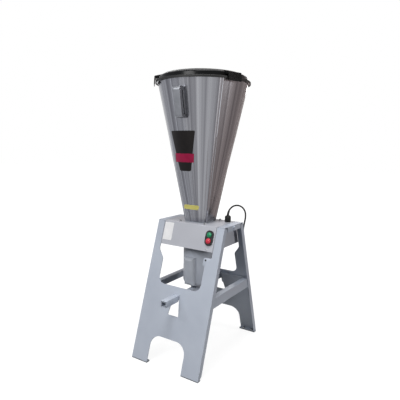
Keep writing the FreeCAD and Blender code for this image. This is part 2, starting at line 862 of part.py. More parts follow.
def capacitor_cover():
    """Rounded box on the front of the motor shell, its back shaped to the cylinder."""
    half, front, rounding = S["capacitor_half"], S["capacitor_front"], S["capacitor_round"]
    back = S["motor_radius"] * 0.85
    body = new_body("capacitor_blank")
    section = sketch(body, "XY_Plane", CAPACITOR_FOOT)
    outline(section, [
        (-half, -front, rounding), (half, -front, rounding), (half, -back), (-half, -back),
    ])
    pad(body, section, S["capacitor_height"])
    flank = sketch(body, "YZ_Plane")
    low, high = CAPACITOR_FOOT, CAPACITOR_FOOT + S["capacitor_height"]
    for level, way in ((low, 1), (high, -1)):
        outline(flank, [
            (-front - 1, level - way), (-front + rounding + 1, level - way), (-front + rounding + 1, level),
            (-front, level, rounding), (-front, level + rounding * way + way),
            (-front - 1, level + rounding * way + way),
        ])
    pocket(body, flank)
    barrel = cylinder("capacitor_barrel", S["motor_radius"] + S["seat_gap"], S["capacitor_height"] + 20,
                      0, 0, low - 10)
    return cut("capacitor_cover", body, [barrel])


capacitor_cover()


def motor_bolts():
    """Four bolts with a nut on the deck and a head under the motor plate."""
    radius = S["pivot_radius"] / 2
    nut_height = radius * 1.6
    length = S["motor_plate_height"] + S["sheet"] + nut_height + 2
    bolts = []
    for number, (x, y) in enumerate(bolt_places()):
        shank = cylinder("bolt_shank_%d" % number, radius, length, x, y, SHELL_TOP)
        nut = hexagon_head("bolt_nut_%d" % number, radius * 3.3, nut_height, x, y, S["deck_height"])
        under = hexagon_head("bolt_head_%d" % number, radius * 3.3, nut_height, x, y, SHELL_TOP - nut_height)
        bolts.append(fused("bolt_%d" % number, [shank, nut, under]))
    return grouped("motor_bolts", bolts)


motor_bolts()


# Cup: a sheet shell that is square with four ridges at its foot and round from half its height
def cup_section(half, corner, height):
    """A square outline with rounded corners: four sides and four corner arcs, from the first side."""
    edges = []
    straight = half - corner
    for quarter in range(4):
        turn = math.radians(90 * quarter)

        def at(x, y):
            return Vector(x * math.cos(turn) - y * math.sin(turn), x * math.sin(turn) + y * math.cos(turn), height)

        edges.append(Part.makeLine(at(half, -straight), at(half, straight)))
        diagonal = straight + corner / math.sqrt(2)
        edges.append(Part.Arc(at(half, straight), at(diagonal, diagonal), at(straight, half)).toShape())
    return Part.Wire(edges)


def round_section(radius, height, ridge):
    """A circle split where the ridges of the square foot run out."""
    edges = []
    half_ridge = math.radians(ridge / 2)
    for quarter in range(4):
        turn = math.radians(90 * quarter)
        marks = [-math.pi / 4 + half_ridge, 0, math.pi / 4 - half_ridge, math.pi / 4, math.pi / 4 + half_ridge]

        def at(angle):
            return Vector(radius * math.cos(turn + angle), radius * math.sin(turn + angle), height)

        edges.append(Part.Arc(at(marks[0]), at(marks[1]), at(marks[2])).toShape())
        edges.append(Part.Arc(at(marks[2]), at(marks[3]), at(marks[4])).toShape())
    return Part.Wire(edges)


def cup_form(inset, foot, top):
    """The cup's outside, or its inside where inset is the wall."""
    mid, base_half = num(CUP_MID), num(S["cup_base_half"]) - inset
    corner = max(num(S["cup_base_corner"]) - inset, 1.0)
    ridge = num(S["cup_ridge_angle"])
    mid_radius, top_radius = num(S["cup_mid_radius"]) - inset, num(S["cup_top_radius"]) - inset
    slope = (mid_radius - base_half) / (mid - num(CUP_FOOT))
    base_half_here = base_half + slope * (foot - num(CUP_FOOT))
    lower = Part.makeLoft([
        cup_section(base_half_here, corner, foot), round_section(mid_radius, mid, ridge),
    ], True, True)
    rise = (top_radius - mid_radius) / (num(CUP_TOP) - mid)
    upper = Part.makeCone(mid_radius, mid_radius + rise * (top - mid), top - mid, Vector(0, 0, mid))
    return lower.fuse(upper)


def cup_shell():
    wall, foot, top = num(S["cup_wall"]), num(CUP_FOOT), num(CUP_TOP)
    outside = cup_form(0, foot, top)
    inside = cup_form(wall, foot + num(S["cup_floor"]), top)
    ring = Part.makeCylinder(num(RIM_RADIUS), num(S["rim_height"]), Vector(0, 0, top))
    mouth = Part.makeCylinder(num(S["cup_top_radius"]) - wall, num(S["rim_height"]), Vector(0, 0, top))
    hub_hole = Part.makeCylinder(num(S["hub_radius"]) + 0.1, 20, Vector(0, 0, foot - 5))
    shell = outside.fuse(ring).cut(inside).cut(mouth).cut(hub_hole).removeSplitter()
    piece = from_shape("cup_shell", shell)
    return place(piece, axis=UP_Z, angle=S["cup_turn"])


cup_shell()


def cup_gasket():
    """Rubber seat between the cup's foot and the deck."""
    half = S["cup_base_half"] - 1.5
    body = new_body("cup_gasket")
    section = sketch(body, "XY_Plane", S["deck_height"])
    outline(section, [(-half, -half, 9), (half, -half, 9), (half, half, 9), (-half, half, 9)])
    circle(section, 0, 0, S["hub_flange"] + 1)
    pad(body, section, S["cup_gasket"] - S["seat_gap"])
    return place(body, axis=UP_Z, angle=S["cup_turn"])


cup_gasket()

HUB_BORE = S["shaft_radius"] + S["bush_wall"]
HUB_FOOT = S["deck_height"] - S["sheet"] - 6
HUB_TOP = CUP_FOOT + S["cup_floor"] + S["hub_height"]
revolved("cup_hub", [
    (HUB_BORE, HUB_FOOT), (S["hub_radius"], HUB_FOOT), (S["hub_radius"], S["deck_height"] + 0.1),
    (S["hub_flange"], S["deck_height"] + 0.1), (S["hub_flange"], CUP_FOOT - 0.1),
    (S["hub_radius"], CUP_FOOT - 0.1), (S["hub_radius"], HUB_TOP - 8, 4),
    (HUB_BORE + 5, HUB_TOP), (HUB_BORE, HUB_TOP),
])
revolved("hub_bush", [
    (S["shaft_radius"] + S["pivot_play"], HUB_FOOT), (HUB_BORE - S["seat_gap"], HUB_FOOT),
    (HUB_BORE - S["seat_gap"], HUB_TOP - 8), (S["shaft_radius"] + S["pivot_play"], HUB_TOP - 8),
])
revolved("shaft_seal", [
    (S["shaft_radius"] + 0.1, HUB_TOP - 7.5), (HUB_BORE - S["seat_gap"], HUB_TOP - 7.5),
    (HUB_BORE - S["seat_gap"], HUB_TOP - 1), (S["shaft_radius"] + 0.1, HUB_TOP - 1),
])


def cup_radius(height):
    """Outside radius of the round part of the cup."""
    rise = (S["cup_top_radius"] - S["cup_mid_radius"]) / (CUP_TOP - CUP_MID)
    return S["cup_mid_radius"] + (height - CUP_MID) * rise


def cup_handle():
    """Bent steel strap on the front of the cup."""
    top, foot, thick, reach = HANDLE_TOP, HANDLE_FOOT, S["handle_sheet"], S["handle_reach"]
    # the strap's ends follow the cone, and stand off it by the sagitta of the strap's own width
    top_wall, foot_wall = cup_radius(top) - 1, cup_radius(foot) - 1
    body = new_body("handle_blank")
    profile = sketch(body, "YZ_Plane")
    outline(profile, [
        (-foot_wall, foot), (-foot_wall - reach, foot, 14), (-top_wall - reach, top, 14), (-top_wall, top),
        (-top_wall, top - thick), (-top_wall - reach + thick, top - thick, 10),
        (-foot_wall - reach + thick, foot + thick, 10), (-foot_wall, foot + thick),
    ])
    pad(body, profile, S["handle_width"], both_ways=True)
    cone = doc.addObject("Part::Cone", "handle_seat")
    bind(cone, "Radius1", S["cup_mid_radius"] + S["seat_gap"])
    bind(cone, "Radius2", S["cup_top_radius"] + S["seat_gap"])
    bind(cone, "Height", CUP_TOP - CUP_MID)
    place(cone, 0, 0, CUP_MID)
    handle = cut("cup_handle", body, [cone])
    return place(handle, axis=UP_Z, angle=S["cup_turn"])


cup_handle()

# Rotor: shaft, core, fan and blades turn together
SHAFT_FOOT = MOTOR_FOOT + 8
SHAFT_TOP = HUB_TOP + 34
cylinder_shaft = cylinder("motor_shaft", S["shaft_radius"], SHAFT_TOP - SHAFT_FOOT, 0, 0, SHAFT_FOOT)
cylinder_shaft.Label = "motor_shaft"
parts.append(cylinder_shaft)
SHAFT_SEAT = S["shaft_radius"] + S["seat_gap"]
revolved("rotor_core", [
    (SHAFT_SEAT, STATOR_FOOT), (S["rotor_radius"], STATOR_FOOT),
    (S["rotor_radius"], STATOR_FOOT + S["stator_height"]),
    (SHAFT_SEAT, STATOR_FOOT + S["stator_height"]),
])


def cooling_fan():
    """Hub and backing disc with straight blades, under the lower bearing."""
    foot = MOTOR_FOOT + 9
    height = 12
    radius = S["fan_radius"]
    body = revolved("cooling_fan", [
        (SHAFT_SEAT, foot), (16, foot), (16, foot + height - 2), (radius, foot + height - 2),
        (radius, foot + height), (SHAFT_SEAT, foot + height),
    ])
    blade = sketch(body, "XY_Plane", foot)
    outline(blade, [(15.5, -1), (radius - 2, -1), (radius - 2, 1), (15.5, 1)])
    feature = pad(body, blade, height - 1)
    ring = body.newObject("PartDesign::PolarPattern", "blades")
    ring.Originals = [feature]
    ring.Axis = (blade, ["N_Axis"])
    ring.Occurrences = 10
    body.Tip = ring


cooling_fan()


def blade(label, level, droop, turn):
    """A two-armed blade: flat in the middle with both tips bent."""
    thick, reach, half = 3, S["blade_reach"], 9
    body = new_body(label + "_blank")
    profile = sketch(body, "XZ_Plane")
    flat, tip = 18, droop
    outline(profile, [
        (-reach, level + tip), (-flat, level), (flat, level), (reach, level + tip),
        (reach, level + tip + thick), (flat, level + thick), (-flat, level + thick), (-reach, level + tip + thick),
    ])
    pad(body, profile, half * 2, both_ways=True)
    taper = sketch(body, "XY_Plane")
    for side_x in (-1, 1):
        for side_y in (-1, 1):
            outline(taper, [
                (flat * side_x, (half + 1) * side_y), ((reach + 2) * side_x, (half + 1) * side_y),
                ((reach + 2) * side_x, 3 * side_y),
            ])
    pocket(body, taper)
    hole = sketch(body, "XY_Plane")
    circle(hole, 0, 0, SHAFT_SEAT)
    pocket(body, hole)
    place(body, axis=UP_Z, angle=turn)
    body.Label = label
    return body


BLADE_LEVEL = HUB_TOP + 3
revolved("blade_spacer", [
    (SHAFT_SEAT, HUB_TOP + 0.5), (14, HUB_TOP + 0.5), (14, BLADE_LEVEL - 0.1), (SHAFT_SEAT, BLADE_LEVEL - 0.1),
])
blade("lower_blade", BLADE_LEVEL, -12, 20)
revolved("blade_collar", [
    (SHAFT_SEAT, BLADE_LEVEL + 3.1), (13, BLADE_LEVEL + 3.1), (13, BLADE_LEVEL + 10.9), (SHAFT_SEAT, BLADE_LEVEL + 10.9),
])
blade("upper_blade", BLADE_LEVEL + 11, 14, 110)
revolved("blade_nut", [
    (SHAFT_SEAT, BLADE_LEVEL + 14.1), (13, BLADE_LEVEL + 14.1), (13, BLADE_LEVEL + 24, 2),
    (9, SHAFT_TOP + 5, 4), (0, SHAFT_TOP + 5), (0, SHAFT_TOP + 0.1), (SHAFT_SEAT, SHAFT_TOP + 0.1),
])


# Lid, with three grip tabs that hang over the rim
def lid():
    radius, wall, crown = S["lid_radius"], S["lid_wall"], S["lid_crown"]
    body = revolved("lid", [
        (0, LID_TOP + crown), (radius * 0.66, LID_TOP + crown * 0.75), (radius - 22, LID_TOP + 2, 20),
        (radius - 3, LID_TOP - 8, 6), (radius, LID_FOOT + 0.1), (radius - wall, LID_FOOT + 0.1),
        (radius - wall - 3, LID_TOP - 14, 4), (radius - 30, LID_TOP - 5), (radius * 0.6, LID_TOP + 1),
        (0, LID_TOP + crown - wall),
    ])
    reach, drop = TAB_REACH, S["tab_drop"]
    hook_foot = RIM_TOP - drop
    tab = sketch(body, "XZ_Plane")
    outline(tab, [
        (radius - 28, LID_TOP + 1), (reach - 2, LID_TOP - 9, 4), (reach, hook_foot), (TAB_INNER, hook_foot),
        (TAB_INNER - 1, LID_FOOT + 8, 3), (radius - 4, LID_FOOT + 8),
    ])
    feature = pad(body, tab, S["tab_width"], both_ways=True)
    ring = body.newObject("PartDesign::PolarPattern", "tabs")
    ring.Originals = [feature]
    ring.Axis = (body_axis(body), [""])
    ring.Occurrences = 3
    body.Tip = ring
    return place(body, axis=UP_Z, angle=-21)


def body_axis(body):
    return [f for f in body.Origin.OriginFeatures if f.Role == "Z_Axis"][0]


lid()
revolved("lid_seal", [
    (S["lid_radius"] - 16, RIM_TOP), (SKIRT_IN, RIM_TOP), (SKIRT_IN, CUP_TOP - 3),
    (SKIRT_OUT, CUP_TOP - 3), (SKIRT_OUT, LID_FOOT, 1.5),
    (S["lid_radius"] - 16, LID_FOOT),
])


# Switch on the front of the head
def switch_plate():
    half = S["switch_across"] / 2
    tall = S["switch_height"] / 2
    body = new_body("switch_plate")
    face = sketch(body, "XY_Plane")
    outline(face, [
        (-half, -tall, half - 1), (half, -tall, half - 1), (half, tall, half - 1), (-half, tall, half - 1),
    ])
    for way in (-1, 1):
        circle(face, 0, S["button_spacing"] / 2 * way, S["button_radius"] + S["button_play"])
    pad(body, face, S["switch_thick"])
    return on_front(body, SWITCH_X, SWITCH_LEVEL, S["seat_gap"])


switch_plate()


def button(label, way):
    """A round push button whose stem passes through the skirt."""
    depth = S["sheet"] * 2
    stem_end = -depth
    body = revolved(label, [
        (0, stem_end), (S["button_radius"], stem_end),
        (S["button_radius"], S["switch_thick"] + S["button_proud"], 1.5), (0, S["switch_thick"] + S["button_proud"]),
    ])
    return on_front(body, SWITCH_X, SWITCH_LEVEL, 0, S["button_spacing"] / 2 * way)


button("start_button", 1)
button("stop_button", -1)


def contact_block():
    """Switch body behind the skirt, carried on two lugs against its inner face."""
    half, tall, depth, lug = 15, S["contact_tall"] / 2, 30, 5
    body = new_body("contact_block")
    face = sketch(body, "XY_Plane", -depth)
    outline(face, [(-half, -tall), (half, -tall), (half, tall), (-half, tall)])
    clear = S["sheet"] * 2 + S["button_travel"] + 0.5
    pad(body, face, depth - clear)
    for way in (-1, 1):
        post = sketch(body, "XY_Plane", -clear - 1)
        outline(post, [
            (-half, (tall - lug) * way), (half, (tall - lug) * way), (half, tall * way), (-half, tall * way),
        ])
        pad(body, post, clear + 1 - S["sheet"] - S["seat_gap"])
    return on_front(body, SWITCH_X, SWITCH_LEVEL, 0)


contact_block()

# Cord: gland, upper loop that tips with the head, lower run behind the stand, coil and plug
GLAND_TOP = S["deck_height"] + S["gland_height"]
gland = revolved("cable_gland", [
    (S["cord_radius"] + 0.2, S["deck_height"] - 12), (S["gland_thread"], S["deck_height"] - 12),
    (S["gland_thread"], S["deck_height"] + 0.1), (S["gland_radius"], S["deck_height"] + 0.1),
    (S["gland_radius"], GLAND_TOP - 5, 2), (S["gland_radius"] - 3, GLAND_TOP, 1.5),
    (S["cord_radius"] + 0.2, GLAND_TOP),
])
place(gland, GLAND_X, S["gland_y"])
gland_nut = revolved("gland_nut", [
    (S["gland_thread"] + 0.1, DECK_UNDER - 6), (S["gland_radius"] + 1, DECK_UNDER - 6),
    (S["gland_radius"] + 1, DECK_UNDER - 0.1), (S["gland_thread"] + 0.1, DECK_UNDER - 0.1),
])
place(gland_nut, GLAND_X, S["gland_y"])


def cord_path(points):
    """Straight runs joined by tangent arcs, each as large as its two runs allow."""
    edges, radii, start = [], [], points[0]
    for before, here, after in zip(points, points[1:], points[2:]):
        back, ahead = before - here, after - here
        shorter = min(back.Length, ahead.Length)
        back.normalize()
        ahead.normalize()
        half_turn = (math.pi - back.getAngle(ahead)) / 2
        trim = 0.45 * shorter
        radius = trim / math.tan(half_turn)
        entry, leave = here + back * trim, here + ahead * trim
        middle = here + (back + ahead).normalize() * (radius / math.cos(half_turn))
        summit = middle + (here - middle).normalize() * radius
        edges.append(Part.LineSegment(start, entry).toShape())
        edges.append(Part.Arc(entry, summit, leave).toShape())
        radii.append(radius)
        start = leave
    edges.append(Part.LineSegment(start, points[-1]).toShape())
    return Part.Wire(edges), radii


def cord_tube(label, points):
    path, radii = cord_path([Vector(*p) for p in points])
    direction = Vector(*points[1]) - Vector(*points[0])
    radius = num(S["cord_radius"])
    ring = Part.Wire([Part.Circle(Vector(*points[0]), direction, radius).toShape()])
    tube = path.makePipeShell([ring], True, False)
    wanted = math.pi * radius ** 2 * path.Length
    print(label, "length %.1f" % path.Length, "volume over section times length %.4f" % (tube.Volume / wanted),
          "radii", [round(r, 1) for r in radii])
    return from_shape(label, tube)


CORD_LOOP = [
    (108, 48, 577), (108, 48, 605), (113, 53, 634), (129, 69, 651), (148, 88, 646), (160, 100, 622),
    (165, 105, 590), (165, 106, 560),
]
CORD_RUN = [
    (165, 106, 560), (165, 107, 530), (161, 113, 490), (156, 127, 440), (151, 146, 385), (147, 166, 325),
    (143, 185, 265), (138, 204, 205), (131, 223, 147), (121, 237, 102), (111, 250, 62), (101, 265, 29),
    (91, 287, 8), (80.5, 315, 3.6), (74, 348, 3.6), (74, 382, 3.6),
]
cord_tube("cord_loop", CORD_LOOP)
cord_tube("cord_run", CORD_RUN)

# The spare length lies in one column of turns close behind the right leg, with the plug on top
COIL_CENTRE = Vector(39, 405, 0)
COIL_TURN = 35
PLUG_HEADING = 296
# from the coil's top turn, seen along the plug: sideways, ahead and up
TAIL = [
    (-35, 0, 24.6), (-35, -24.8, 24.9), (-16.8, -43, 30.5), (8.9, -43, 36.7), (27, -24.8, 42.2), (27, 1, 42.2),
]


def beside_coil(side, ahead, height):
    """A point given in the coil's own directions, those of the plug."""
    turn = FreeCAD.Rotation(UP_Z, PLUG_HEADING)
    return COIL_CENTRE + turn.multVec(Vector(ahead, -side, height))


def cord_coil():
    """Outer form of the coiled spare length, with the ends that enter and leave it."""
    half = num(S["cord_radius"])
    inner, outer, low, high = COIL_TURN - half, COIL_TURN + half, 0.1, half * 8 + 0.1
    section = Part.makePolygon([Vector(x, 0, z) for x, z in (
        (inner, low), (outer, low), (outer, high), (inner, high), (inner, low))])
    ring = Part.Face(section).revolve(Vector(), UP_Z, 360)
    rims = [e for e in ring.Edges if hasattr(e.Curve, "Radius")]
    ring = ring.makeFillet(half - 0.5, rims)
    ring.translate(COIL_CENTRE)
    stub = Part.makeCylinder(half, 25, Vector(*CORD_RUN[-1]), ALONG_Y)
    points = [beside_coil(*p) for p in TAIL]
    path, radii = cord_path(points)
    start = Part.Circle(points[0], points[1] - points[0], half).toShape()
    tail = path.makePipeShell([Part.Wire([start])], True, False)
    print("cord_coil tail", "length %.1f" % path.Length, "radii", [round(r, 1) for r in radii])
    from_shape("cord_coil", ring.fuse([stub, tail]))
    return points[-1]


PLUG_START = cord_coil()


def at_plug(thing, along, across=0, over=0):
    """Lays a piece drawn upright along the plug's axis."""
    flat = FreeCAD.Rotation(UP_Z, PLUG_HEADING).multiply(FreeCAD.Rotation(ALONG_Y, 90))
    shift = FreeCAD.Rotation(UP_Z, PLUG_HEADING).multVec(Vector(along, across, over))
    thing.Placement = FreeCAD.Placement(PLUG_START + shift, flat)
    return thing


def plug():
    """Moulded plug body with its tapered tail and three blades."""
    body = revolved("plug_body", [
        (0, 0), (5, 0), (6.5, 12), (13, 22, 4), (14, 40), (0, 40),
    ])
    at_plug(body, 0)
    blades = []
    for number, across in enumerate((-6.4, 4.9)):
        flat_blade = block("blade_%d" % number, 6.4, 1.5, 18, 0, 0, 0)
        blades.append(at_plug(flat_blade, 40, across, 0))
    earth = cylinder("earth_pin", 2.4, 20)
    blades.append(at_plug(earth, 40, 0, 7))
    grouped("plug_blades", blades)


plug()

doc.recompute()
os.makedirs("parts", exist_ok=True)
bad = [o.Name for o in doc.Objects if "Invalid" in o.State or "Error" in o.State]
if bad:
    raise SystemExit("failed objects: %s" % bad)
for part in parts:
    if part.Shape.isNull() or not part.Shape.isValid():
        raise SystemExit("bad shape: %s" % part.Label)
for part in parts:
    part.Shape.exportStep("parts/%s.step" % part.Label)
    box = part.Shape.BoundBox
    print("%-22s solids %d volume %9.0f  x %7.1f %7.1f  y %7.1f %7.1f  z %7.1f %7.1f" % (
        part.Label, len(part.Shape.Solids), part.Shape.Volume,
        box.XMin, box.XMax, box.YMin, box.YMax, box.ZMin, box.ZMax))
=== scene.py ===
"""A floor blender for a large kitchen: a tall steel cup that tips in a leaning stand of folded sheet."""
import json
import math

import bmesh
import bpy
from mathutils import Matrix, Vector


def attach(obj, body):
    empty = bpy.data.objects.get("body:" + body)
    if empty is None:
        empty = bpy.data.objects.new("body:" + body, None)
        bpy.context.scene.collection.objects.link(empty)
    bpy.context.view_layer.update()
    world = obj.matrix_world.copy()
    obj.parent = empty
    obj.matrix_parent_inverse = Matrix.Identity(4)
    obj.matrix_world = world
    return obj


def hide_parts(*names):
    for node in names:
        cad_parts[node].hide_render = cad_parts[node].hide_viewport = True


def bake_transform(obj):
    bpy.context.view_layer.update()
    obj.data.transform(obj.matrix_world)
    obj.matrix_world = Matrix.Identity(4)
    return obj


MM = 0.001

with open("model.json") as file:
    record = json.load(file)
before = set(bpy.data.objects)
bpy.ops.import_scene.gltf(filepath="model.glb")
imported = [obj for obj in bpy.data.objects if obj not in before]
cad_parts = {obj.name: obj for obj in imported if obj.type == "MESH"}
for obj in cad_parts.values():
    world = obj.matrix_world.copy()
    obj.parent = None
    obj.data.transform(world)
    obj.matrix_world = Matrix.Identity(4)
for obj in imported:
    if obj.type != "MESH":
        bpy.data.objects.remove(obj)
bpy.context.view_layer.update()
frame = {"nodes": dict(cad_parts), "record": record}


# Camera, at the height of the deck and to the right of the front

bpy.ops.object.select_all(action="DESELECT")
bpy.ops.object.camera_add(
    location=(0.900, -1.4114, 0.878),
    rotation=(math.radians(82.417), math.radians(-1.018), math.radians(32.805)),
)
camera = bpy.context.object
camera.data.lens = 35.206
camera.data.sensor_width = 36
bpy.context.scene.camera = camera


# Materials

def linear(code):
    """The linear colour of an sRGB hex code."""
    parts = [int(code[i:i + 2], 16) / 255 for i in (1, 3, 5)]
    return [p / 12.92 if p <= 0.04045 else ((p + 0.055) / 1.055) ** 2.4 for p in parts] + [1.0]


def add(tree, kind, values=None, links=None, **settings):
    """Adds one node with its settings, its fixed sockets and what feeds the others."""
    made = tree.nodes.new(kind)
    for name, value in settings.items():
        setattr(made, name, value)
    for socket, value in (values or {}).items():
        made.inputs[socket].default_value = value
    for socket, source in (links or {}).items():
        tree.links.new(source, made.inputs[socket])
    return made


def start_material(name, colour, roughness, metallic=0.0, **sockets):
    """A material with one shader, and the place of each point on its piece."""
    material = bpy.data.materials.new(name)
    material.use_nodes = True
    tree = material.node_tree
    tree.nodes.clear()
    values = {"Base Color": linear(colour), "Roughness": roughness, "Metallic": metallic}
    values.update({key.replace("_", " "): value for key, value in sockets.items()})
    shader = add(tree, "ShaderNodeBsdfPrincipled", values)
    add(tree, "ShaderNodeOutputMaterial", links={"Surface": shader.outputs["BSDF"]})
    place = add(tree, "ShaderNodeTexCoord").outputs["Object"]
    return material, tree, shader, place


def grain(tree, place, size, stretch=(1, 1, 1), detail=2.0):
    """Noise whose patches are about size millimetres across, drawn out along an axis by stretch."""
    scaled = add(
        tree, "ShaderNodeMapping", {"Scale": [1 / (size * MM * s) for s in stretch]}, {"Vector": place}
    )
    noise = add(
        tree, "ShaderNodeTexNoise", {"Scale": 1.0, "Detail": detail}, {"Vector": scaled.outputs[0]}
    )
    return noise.outputs["Fac"]


def between(tree, amount, low, high, first=0.3, last=0.7):
    """From low to high, numbers or hex codes of colours, as amount goes from first to last."""
    if isinstance(low, str):
        share = between(tree, amount, 0.0, 1.0, first, last)
        mixed = add(
            tree, "ShaderNodeMix", {6: linear(low), 7: linear(high)}, {0: share}, data_type="RGBA"
        )
        return mixed.outputs[2]
    ranged = add(
        tree, "ShaderNodeMapRange",
        {"From Min": first, "From Max": last, "To Min": low, "To Max": high}, {"Value": amount},
    )
    return ranged.outputs[0]


def raise_surface(tree, shader, height, depth, strength=1.0):
    """Bump of that depth in millimetres."""
    bump = add(
        tree, "ShaderNodeBump", {"Strength": strength, "Distance": depth * MM}, {"Height": height}
    )
    tree.links.new(bump.outputs[0], shader.inputs["Normal"])


def powder_coat(name, light, dark, peel):
    """Polyester powder coat on folded steel: satin, with a fine orange peel and a faint cloudiness."""
    material, tree, shader, place = start_material(name, light, 0.42)
    cloud = grain(tree, place, 90, detail=3)
    tree.links.new(between(tree, cloud, light, dark), shader.inputs["Base Color"])
    # real peel is about 1 mm across; it is drawn at 3 mm so that it shows
    pebble = grain(tree, place, 3, detail=1)
    tree.links.new(between(tree, pebble, 0.36, 0.5), shader.inputs["Roughness"])
    raise_surface(tree, shader, pebble, peel, 0.6)
    return material


def stainless(name, light, dark, roughness):
    """Stainless sheet, satin brushed up and down, with painted reflections in its colour: light and dark
    bands and a few bright lines stand in for a room seen in the metal. Streaks run with the wall and gather
    towards the foot.
    """
    material, tree, shader, place = start_material(name, light, roughness, 1.0)
    flat = add(tree, "ShaderNodeVectorMath", {1: (1, 1, 0)}, {0: place}, operation="MULTIPLY")
    spoke = add(tree, "ShaderNodeVectorMath", None, {0: flat.outputs[0]}, operation="NORMALIZE")
    # painted reflection bands about 25 mm wide at the mouth: light and dark in the colour where a room
    # would show in the metal, with a little of the rolled sheet's own tone in them
    band = add(tree, "ShaderNodeTexNoise", {"Scale": 8.0, "Detail": 3.0}, {"Vector": spoke.outputs[0]})
    # brush lines are under 0.1 mm; they are drawn at 1.5 mm so that they show
    line = add(tree, "ShaderNodeTexNoise", {"Scale": 120.0, "Detail": 3.0}, {"Vector": spoke.outputs[0]})
    both = add(tree, "ShaderNodeMath", {0: 0.0, 1: 0.35, 2: 0.0},
               {0: line.outputs["Fac"], 2: band.outputs["Fac"]}, operation="MULTIPLY_ADD")
    # a few painted highlight lines some 5 mm wide: bright reflections put into the colour
    painted_highlight_line = add(tree, "ShaderNodeTexNoise", {"Scale": 24.0, "Detail": 1.0}, {"Vector": spoke.outputs[0]})
    # the colour goes from the dark to the light side of the painted reflection bands, then towards the
    # painted highlight colour
    bright = add(tree, "ShaderNodeMix", {7: linear("#cfd1d8")}, {
        0: between(tree, painted_highlight_line.outputs["Fac"], 0.0, 0.8, 0.64, 0.72),
        6: between(tree, both.outputs[0], dark, light, 0.45, 0.85),
    }, data_type="RGBA")
    tree.links.new(bright.outputs[2], shader.inputs["Base Color"])
    tree.links.new(
        between(tree, line.outputs["Fac"], roughness - 0.06, roughness + 0.08), shader.inputs["Roughness"]
    )
    raise_surface(tree, shader, both.outputs[0], 0.25, 0.5)
    return material


def moulded(name, light, dark, roughness, texture=1.2, depth=0.05, **sockets):
    """Moulded plastic, rubber or blasted metal: an even fine grain, with a faint change of tone."""
    material, tree, shader, place = start_material(name, light, roughness, **sockets)
    tone = grain(tree, place, 25)
    tree.links.new(between(tree, tone, light, dark), shader.inputs["Base Color"])
    spark = grain(tree, place, texture, detail=1)
    tree.links.new(between(tree, spark, roughness - 0.05, roughness + 0.07), shader.inputs["Roughness"])
    raise_surface(tree, shader, spark, depth, 0.5)
    return material


def turned(name, light, dark, roughness, ring=1.5):
    """Metal from a lathe: fine lines, one above the other."""
    material, tree, shader, place = start_material(name, light, roughness, 1.0)
    tool = grain(tree, place, ring, (40, 40, 1))
    tree.links.new(between(tree, tool, light, dark), shader.inputs["Base Color"])
    tree.links.new(between(tree, tool, roughness - 0.06, roughness + 0.08), shader.inputs["Roughness"])
    raise_surface(tree, shader, tool, 0.06, 0.5)
    return material


def film(name, light, dark):
    """Printed vinyl film stuck on metal: smooth, with a satin top coat."""
    material, tree, shader, place = start_material(name, light, 0.32, Specular_IOR_Level=0.15)
    tree.links.new(between(tree, grain(tree, place, 20), light, dark), shader.inputs["Base Color"])
    tree.links.new(between(tree, grain(tree, place, 6), 0.28, 0.38), shader.inputs["Roughness"])
    return material


stand_coat = powder_coat("powder coat, blue grey", "#b4bbc7", "#adb4c1", 0.10)
head_coat = powder_coat("powder coat, pale grey", "#b6b8c0", "#b0b2ba", 0.10)
motor_coat = powder_coat("cast aluminium, painted grey", "#aeb3bd", "#a4a9b3", 0.30)
# its light and dark colours are the two sides of the painted reflection bands
cup_steel = stainless("stainless steel, satin brushed", "#a5a6ab", "#67676d", 0.25)
fitting_steel = turned("stainless steel, turned", "#a9abb0", "#96989d", 0.28)
zinc = turned("steel, zinc plated", "#a7a9ab", "#8e9092", 0.36)
bronze = turned("bronze, machined", "#a8834f", "#8f6c3c", 0.36)
laminated = turned("steel laminations", "#6a6a6c", "#4c4c4e", 0.45, 2.0)
winding = turned("copper wire, enamelled", "#a5643c", "#7c4526", 0.40, 2.5)
blade_brass = turned("brass, bright", "#c9a95a", "#b39146", 0.25)
lid_plastic = moulded(
    "polypropylene, black gloss", "#0b0c0e", "#08090a", 0.20, 2.0, 0.03, Specular_IOR_Level=0.10,
    Sheen_Weight=0.8, Sheen_Roughness=0.22
)
seal_rubber = moulded("silicone rubber, black", "#121213", "#0d0d0e", 0.55, Specular_IOR_Level=0.3)
black_plastic = moulded("ABS, black, textured", "#131314", "#0e0e0f", 0.45, Specular_IOR_Level=0.3)
weld_steel = turned("stainless steel, polished weld", "#d3d6dd", "#bfc2ca", 0.16, 3.0)
handle_steel = moulded(
    "stainless steel, bead blasted", "#8d8f94", "#818388", 0.36, 1.5, 0.03, metallic=1.0
)
foot_rubber = moulded("rubber, grey, matt", "#7f848c", "#757a82", 0.72, 1.6, 0.12)
cover_plastic = moulded("ABS, pale grey", "#b2b7c0", "#a8adb6", 0.40)
green_plastic = moulded("ABS, green gloss", "#0b8a5c", "#097b51", 0.25, 3.0, 0.02, Specular_IOR_Level=0.35)
red_plastic = moulded("ABS, red gloss", "#e0384e", "#cc3044", 0.25, 3.0, 0.02, Specular_IOR_Level=0.35)
jacket = moulded("PVC cable jacket, black", "#0e0e0f", "#0a0a0b", 0.42, 1.5, 0.05, Specular_IOR_Level=0.3)
black_film = film("vinyl film, black", "#1e1a1a", "#181515")
crimson_film = film("vinyl film, crimson", "#a61d49", "#991a42")
yellow_film = film("vinyl film, yellow", "#e6dd84", "#ddd477")
white_film = film("vinyl film, off white", "#f2f2f3", "#eaeaec")

